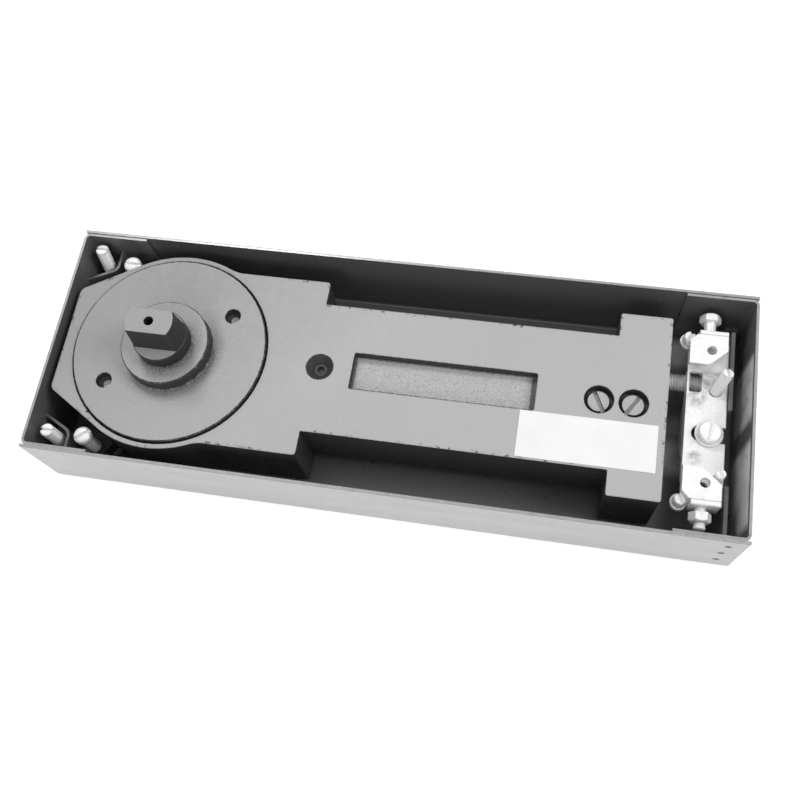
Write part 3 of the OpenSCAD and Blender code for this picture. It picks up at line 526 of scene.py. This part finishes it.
def mesh_object(name, bm, mats=()):
    me = bpy.data.meshes.new(name)
    bm.to_mesh(me)
    bm.free()
    o = bpy.data.objects.new(name, me)
    bpy.context.scene.collection.objects.link(o)
    for x in mats:
        me.materials.append(x)
    return o


def smooth(o, sharp_angle):
    """Smooth shading, with edges over so many degrees kept sharp."""
    for p in o.data.polygons:
        p.use_smooth = True
    o.data.set_sharp_from_angle(angle=math.radians(sharp_angle))


def bodies_of(node):
    """The body that the node belongs to."""
    return [b for b, names in behaviour["bodies"].items() if node in names][0]


def joint_of(child):
    return [j for j in behaviour["joints"] if j["child"] == child][0]


def clamp(value, lo=0.0, hi=1.0):
    return max(lo, min(hi, value))


# ---------- threaded screws ----------

# Faces round a screw
SEGMENTS = 28


def screw_mesh(rows, thread, pitch, depth):
    """A turned body about Z from (z, radius) rows, top first, with a thread between thread's two heights."""
    hi, lo = thread
    step = pitch / 6
    levels = []
    for (z0, r0), (z1, r1) in zip(rows, rows[1:]):
        threaded = z1 < hi and z0 > lo and z0 - z1 > step
        n = math.ceil((z0 - z1) / step) if threaded else 1
        levels += [(z0 + (z1 - z0) * i / n, r0 + (r1 - r0) * i / n) for i in range(n)]
    levels.append(rows[-1])
    bm = bmesh.new()
    rings = []
    for z, r in levels:
        fade = clamp(min((hi - z) / (pitch * 0.6), (z - lo) / (pitch * 0.6)))
        ring = []
        for k in range(SEGMENTS):
            t = (z / pitch - k / SEGMENTS) % 1.0
            groove = clamp((abs(t - 0.5) * 2 - 0.12) / 0.76)
            q = r - depth * fade * groove
            a = 2 * math.pi * k / SEGMENTS
            ring.append(bm.verts.new((q * math.cos(a), q * math.sin(a), z)))
        rings.append(ring)
    for u, v in zip(rings, rings[1:]):
        for k in range(SEGMENTS):
            n = (k + 1) % SEGMENTS
            bm.faces.new((u[k], v[k], v[n], u[n]))
    bm.faces.new(rings[0])
    bm.faces.new(list(reversed(rings[-1])))
    bmesh.ops.recalc_face_normals(bm, faces=bm.faces)
    return bm


def stud_rows(r, length):
    """Rounded slotted end at z = 0 and a tapered point at -length."""
    dome, foot = 0.0009, 0.001
    rows = [(-dome * (1 - math.cos(math.radians(a))), r - dome * (1 - math.sin(math.radians(a))))
            for a in (0, 25, 50, 75, 90)]
    return rows + [(foot - length, r), (-length, r - foot)]


def headed_rows(r, length, head_r, head_h):
    """Rounded head above its seat at z = 0, and a shank with a tapered point at -length."""
    foot = 0.0008
    return [(head_h, head_r - 0.0016), (head_h - 0.0002, head_r - 0.0009), (head_h - 0.0006, head_r - 0.0003),
            (head_h - 0.0012, head_r), (0.0003, head_r), (0.0, head_r - 0.0002),
            (-0.00005, r), (foot - length, r), (-length, r - foot)]


def cut_slot(o, width, deep, reach, top):
    """Cuts a driver's slot along X into the end at z = top."""
    bm = bmesh.new()
    bmesh.ops.create_cube(bm, size=1.0)
    bmesh.ops.scale(bm, vec=(2 * reach, width, 2 * deep), verts=bm.verts)
    cutter = mesh_object("slot_cutter", bm)
    cutter.location.z = top
    mod = o.modifiers.new("cut", "BOOLEAN")
    mod.operation = "DIFFERENCE"
    mod.solver = "EXACT"
    mod.object = cutter
    bpy.context.view_layer.update()
    me = bpy.data.meshes.new_from_object(o.evaluated_get(bpy.context.evaluated_depsgraph_get()))
    o.modifiers.remove(mod)
    old = o.data
    o.data = me
    bpy.data.meshes.remove(old)
    bpy.data.objects.remove(cutter)


def place(o, top, axis, turn):
    """Moves the piece's mesh so that its Z axis lies along axis with z = 0 at top."""
    z = Vector(axis).normalized()
    side = Vector((1, 0, 0)) if abs(z.x) < 0.9 else Vector((0, 1, 0))
    x = (side - z * side.dot(z)).normalized()
    m = Matrix((x, z.cross(x), z)).transposed() @ Matrix.Rotation(math.radians(turn), 3, "Z")
    o.data.transform(Matrix.Translation(Vector(top)) @ m.to_4x4())


def make_screw(node, top, axis, turn, r, length, pitch, slot=(0.0012, 0.0016), head=None):
    """Stands for a CAD screw: a slotted stud, or with head=(radius, height) a headed screw on its seat.

    slot is (width, depth) of the driver's slot, and turn its direction in degrees."""
    if head:
        rows, widest, slot_top, thread_top = headed_rows(r, length, *head), head[0], head[1], -0.0004
    else:
        rows, widest, slot_top, thread_top = stud_rows(r, length), r, 0.0, -0.0009
    o = mesh_object(node + "_threaded", screw_mesh(rows, (thread_top, 0.0006 - length), pitch, pitch * 0.55))
    if slot:
        cut_slot(o, *slot, widest + 0.001, slot_top)
    place(o, top, axis, turn)
    smooth(o, 38)
    o.data.materials.clear()
    o.data.materials.append(MATS["zinc_screw"])
    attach(o, bodies_of(node))
    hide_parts(node)


def upright(node):
    """Centre line, top, length and half width of an upright screw node."""
    lo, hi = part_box(node)
    return centre(node), hi[2], hi[2] - lo[2], (hi[0] - lo[0]) / 2


Z = (0, 0, 1)

# Headed screws: node, turn, height of the head, shank radius, pitch
for node, turn, head_h, r, pitch in (("level_screw_far", 0, 0.0042, 0.003, 0.001),
                                     ("level_screw_near", 40, 0.0042, 0.003, 0.001),
                                     ("clamp_screw", 80, 0.0034, 0.0025, 0.0008)):
    (cx, cy), top, length, half = upright(node)
    make_screw(node, (cx, cy, top - head_h), Z, turn, r, length - head_h, pitch,
               slot=(0.0013, 0.0013), head=(half, head_h))

# Upright studs: node, turn, pitch
for node, turn, pitch in (("corner_screw_near", 0, 0.001), ("tail_level_far", 65, 0.0008),
                          ("tail_level_near", 115, 0.0008), ("tail_screw_near", 115, 0.0007)):
    (cx, cy), top, length, half = upright(node)
    make_screw(node, (cx, cy, top), Z, turn, half, length, pitch)

# Part of a stud's end width that its lean adds to the height of its box
END_SHARE = 0.72

# Leaning studs, along their joints' axes: node, body, turn, radius, pitch
for node, child, turn, r, pitch in (("corner_screw_far", "screw_corner_far", 0, 0.003, 0.001),
                                    ("tail_screw_far", "screw_tail_far", 100, 0.0025, 0.0008)):
    j = joint_of(child)
    axis = Vector(j["axis"]).normalized()
    lo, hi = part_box(node)
    sine = math.sqrt(max(0.0, 1 - axis.z ** 2))
    length = (hi[2] - lo[2] - 2 * r * sine * END_SHARE) / axis.z
    make_screw(node, j["pos_m"], axis, turn, r, length, pitch)

lo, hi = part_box("end_screw")
make_screw("end_screw", (hi[0], (lo[1] + hi[1]) / 2, (lo[2] + hi[2]) / 2), (1, 0, 0), 90,
           (hi[1] - lo[1]) / 2, hi[0] - lo[0], 0.00125)
lo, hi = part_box("side_bolt_near")
make_screw("side_bolt_near", ((lo[0] + hi[0]) / 2, lo[1], (lo[2] + hi[2]) / 2), (0, -1, 0), 0,
           (hi[0] - lo[0]) / 2, hi[1] - lo[1], 0.0008, slot=None)

# ---------- closing spring ----------

# Steps in a turn of the spring, and faces round its wire
PER_TURN, WIRE_SIDES = 36, 12


def coil_spring(node, wire_r, coils):
    """Stands for the CAD spring: round wire along X, its first and last turn closed and ground flat."""
    lo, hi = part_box(node)
    cy, cz = (lo[1] + hi[1]) / 2, (lo[2] + hi[2]) / 2
    coil_r = (hi[1] - lo[1]) / 2 - wire_r
    x0, x1 = lo[0] + wire_r * 0.55, hi[0] - wire_r * 0.55
    shut = 2.05 * wire_r
    pitch = (x1 - x0 - 2 * shut) / (coils - 2)
    bm = bmesh.new()
    rings = []
    steps = coils * PER_TURN
    for i in range(steps + 1):
        t = i * coils / steps
        # The turns so far: the closed first one, the open ones and the closed last one
        first, between, last = min(t, 1.0), clamp(t - 1.0, hi=coils - 2.0), max(0.0, t - coils + 1.0)
        x = x0 + shut * first + pitch * between + shut * last
        a = 2 * math.pi * t
        ring = []
        for k in range(WIRE_SIDES):
            b = 2 * math.pi * k / WIRE_SIDES
            r = coil_r + wire_r * math.cos(b)
            px = clamp(x + wire_r * math.sin(b), lo[0], hi[0])
            ring.append(bm.verts.new((px, cy + r * math.cos(a), cz + r * math.sin(a))))
        rings.append(ring)
    for u, v in zip(rings, rings[1:]):
        for k in range(WIRE_SIDES):
            n = (k + 1) % WIRE_SIDES
            bm.faces.new((u[k], u[n], v[n], v[k]))
    bm.faces.new(list(reversed(rings[0])))
    bm.faces.new(rings[-1])
    bmesh.ops.recalc_face_normals(bm, faces=bm.faces)
    o = mesh_object(node + "_coil", bm, [MATS["spring_steel"]])
    smooth(o, 50)
    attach(o, bodies_of(node))
    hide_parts(node)
    return o


spring = coil_spring("spring", 0.0017, 12)
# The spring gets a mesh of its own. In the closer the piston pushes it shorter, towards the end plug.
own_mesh(spring)

# ---------- floor, world, lights, camera ----------


def looked_at(tree):
    """1 for camera, glossy and transmission rays, which see the plain white background."""
    path = tree.nodes.new("ShaderNodeLightPath")
    out = path.outputs["Is Camera Ray"]
    for kind in ("Is Glossy Ray", "Is Transmission Ray"):
        most = tree.nodes.new("ShaderNodeMath")
        most.operation = "MAXIMUM"
        tree.links.new(out, most.inputs[0])
        tree.links.new(path.outputs[kind], most.inputs[1])
        out = most.outputs[0]
    return out


def choose(tree, plain, seen, output):
    """The shader seen where the tree is looked at, and the plain one for all other light."""
    pick = tree.nodes.new("ShaderNodeMixShader")
    tree.links.new(looked_at(tree), pick.inputs[0])
    tree.links.new(plain.outputs[0], pick.inputs[1])
    tree.links.new(seen.outputs[0], pick.inputs[2])
    tree.links.new(pick.outputs[0], tree.nodes[output].inputs["Surface"])


def make_floor():
    """A wide pale floor that glows white, with a soft shadow, where it is looked at."""
    bm = bmesh.new()
    half = 6.0
    corners = ((-1, -1), (1, -1), (1, 1), (-1, 1))
    bm.faces.new([bm.verts.new((x * half, y * half, -0.0002)) for x, y in corners])
    m = bpy.data.materials.new("floor_white")
    m.use_nodes = True
    t = m.node_tree
    t.nodes.remove(t.nodes["Principled BSDF"])
    n = t.nodes.new("ShaderNodeTexNoise")
    n.inputs["Scale"].default_value = 3
    r = t.nodes.new("ShaderNodeValToRGB")
    r.color_ramp.elements[0].color = grey(0.93)
    r.color_ramp.elements[1].color = grey(0.95)
    t.links.new(n.outputs["Fac"], r.inputs["Fac"])
    plain = t.nodes.new("ShaderNodeBsdfDiffuse")
    t.links.new(r.outputs["Color"], plain.inputs["Color"])
    shade = t.nodes.new("ShaderNodeBsdfDiffuse")
    shade.inputs["Color"].default_value = grey(0.40)
    glow = t.nodes.new("ShaderNodeEmission")
    glow.inputs["Strength"].default_value = 0.80
    seen = t.nodes.new("ShaderNodeAddShader")
    t.links.new(shade.outputs[0], seen.inputs[0])
    t.links.new(glow.outputs[0], seen.inputs[1])
    choose(t, plain, seen, "Material Output")
    o = mesh_object("floor", bm, [m])


def make_world():
    """White light from all round, at half strength where it isn't looked at."""
    world = bpy.data.worlds.new("studio")
    bpy.context.scene.world = world
    world.use_nodes = True
    t = world.node_tree
    plain = t.nodes["Background"]
    seen = t.nodes.new("ShaderNodeBackground")
    for background, strength in ((plain, 0.5), (seen, 1.0)):
        background.inputs["Color"].default_value = grey(1)
        background.inputs["Strength"].default_value = strength
    choose(t, plain, seen, "World Output")


def area(name, pos, size, power, target=(0, 0, 0.03)):
    d = bpy.data.lights.new(name, "AREA")
    d.shape = "DISK"
    d.size = size
    d.energy = power
    o = bpy.data.objects.new(name, d)
    bpy.context.scene.collection.objects.link(o)
    o.location = pos
    o.rotation_mode = "QUATERNION"
    o.rotation_quaternion = (Vector(target) - Vector(pos)).to_track_quat("-Z", "Y")


def make_camera():
    """The photograph's camera, given by its right, up and back directions."""
    data = bpy.data.cameras.new("camera")
    data.sensor_width = 36
    data.lens = 43.25
    data.clip_start = 0.01
    data.clip_end = 50
    cam = bpy.data.objects.new("camera", data)
    bpy.context.scene.collection.objects.link(cam)
    right = Vector((0.9829, 0.1611, -0.0904))
    up = Vector((-0.118, 0.9241, 0.3636))
    back = Vector((0.1421, -0.3467, 0.9272))
    cam.rotation_mode = "QUATERNION"
    cam.rotation_quaternion = Matrix((right, up, back)).transposed().to_quaternion()
    cam.location = (0.06555, -0.15303, 0.4201)
    bpy.context.scene.camera = cam


make_floor()
make_world()
area("key", (-0.42, 0.62, 1.00), 0.28, 4.75)
area("top", (0.85, 0.05, 0.85), 0.6, 4.9, (0.12, 0, 0.04))
area("fill", (-0.15, -0.80, 0.62), 0.5, 1.6)
make_camera()
bpy.context.scene.view_settings.view_transform = "Standard"
